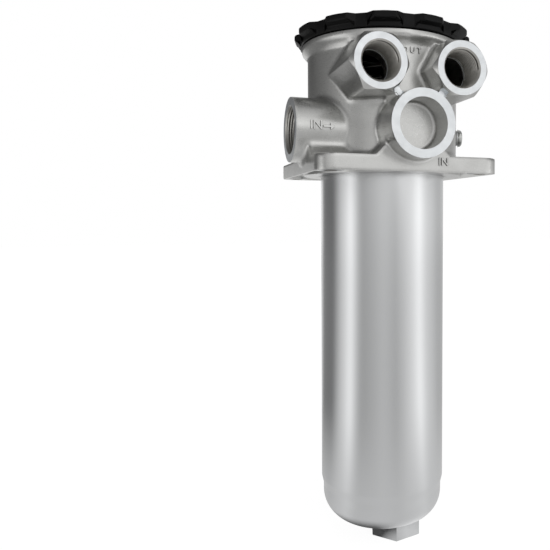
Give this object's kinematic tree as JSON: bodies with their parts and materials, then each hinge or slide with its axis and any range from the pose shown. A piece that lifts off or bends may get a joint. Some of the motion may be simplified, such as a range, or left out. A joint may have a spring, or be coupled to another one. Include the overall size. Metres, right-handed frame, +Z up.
{
  "type": "tank top return filter",
  "caption": "Tank top return filter: cast head with side ports on a square flange, drawn bowl in the tank, lobed screw cover and a sprung outlet valve in the bowl's floor.",
  "frame": {"origin": "on the bowl's axis, in the plane of the mounting flange's underside, where the tank's top plate is", "axes": "+Z up along the bowl's axis out of the tank, -Y towards the outlet ports, -X towards the open inlet port"},
  "size_m": [0.1792, 0.1846, 0.4857],
  "materials": {
    "cast_aluminium": "bead blasted casting with machined port faces",
    "black_plastic": "moulded glass-filled polyamide",
    "seal_rubber": "moulded nitrile",
    "spring_steel": "coiled spring steel",
    "plated_steel": "zinc plated steel",
    "soft_aluminium": "soft metal washer",
    "drawn_aluminium": "drawn tube with long draw lines",
    "element_plastic": "moulded polyamide",
    "handle_steel": "bent strip",
    "filter_media": "pleated glass fibre between meshes",
    "tinned_steel": "slotted tinned tube",
    "valve_steel": "pressed ring",
    "plated_hexagon": "bright plated steel"
  },
  "bodies": {
    "filter": {"filter_head": "cast_aluminium", "cover_seal": "seal_rubber", "gauge_plug": "plated_steel", "gauge_washer": "soft_aluminium", "bowl": "drawn_aluminium", "bowl_seal": "seal_rubber", "element_top_cap": "element_plastic", "element_top_seal": "seal_rubber", "element_handle": "handle_steel", "pleated_media": "filter_media", "support_tube": "tinned_steel", "element_bottom_cap": "element_plastic", "element_bottom_seal": "seal_rubber", "bypass_spring": "spring_steel", "bypass_stop": "valve_steel", "outlet_manifold": "element_plastic", "outlet_valve_body": "plated_hexagon", "outlet_washer": "soft_aluminium", "outlet_spring": "spring_steel", "outlet_guide_plate": "valve_steel", "retaining_ring": "spring_steel"},
    "cover_carrier": {"hold_down_spring": "spring_steel"},
    "cover": {"cover": "black_plastic"},
    "bypass_valve": {"bypass_plate": "valve_steel"},
    "outlet_valve": {"outlet_poppet": "valve_steel"}
  },
  "joints": [
    {"name": "cover_lift", "type": "slide", "parent": "filter", "child": "cover_carrier", "axis": [0, 0, 1], "range_m": [0, 0.016], "deforming": ["hold_down_spring"]},
    {"name": "cover_turn", "type": "hinge", "parent": "cover_carrier", "child": "cover", "pos_m": [0, 0, 0.121], "axis": [0, 0, 1], "range_deg": [0, 1440]},
    {"name": "bypass_lift", "type": "slide", "parent": "filter", "child": "bypass_valve", "axis": [0, 0, 1], "range_m": [0, 0.005], "stiffness_N_per_m": 900, "springref_m": -0.02, "deforming": ["bypass_spring"]},
    {"name": "outlet_open", "type": "slide", "parent": "filter", "child": "outlet_valve", "axis": [0, 0, -1], "range_m": [0, 0.0035], "stiffness_N_per_m": 4400, "springref_m": -0.003, "deforming": ["outlet_spring"]}
  ],
  "couplings": [
    {"joint": "cover_lift", "follows": "cover_turn", "m_per_rad": 0.0006366}
  ]
}
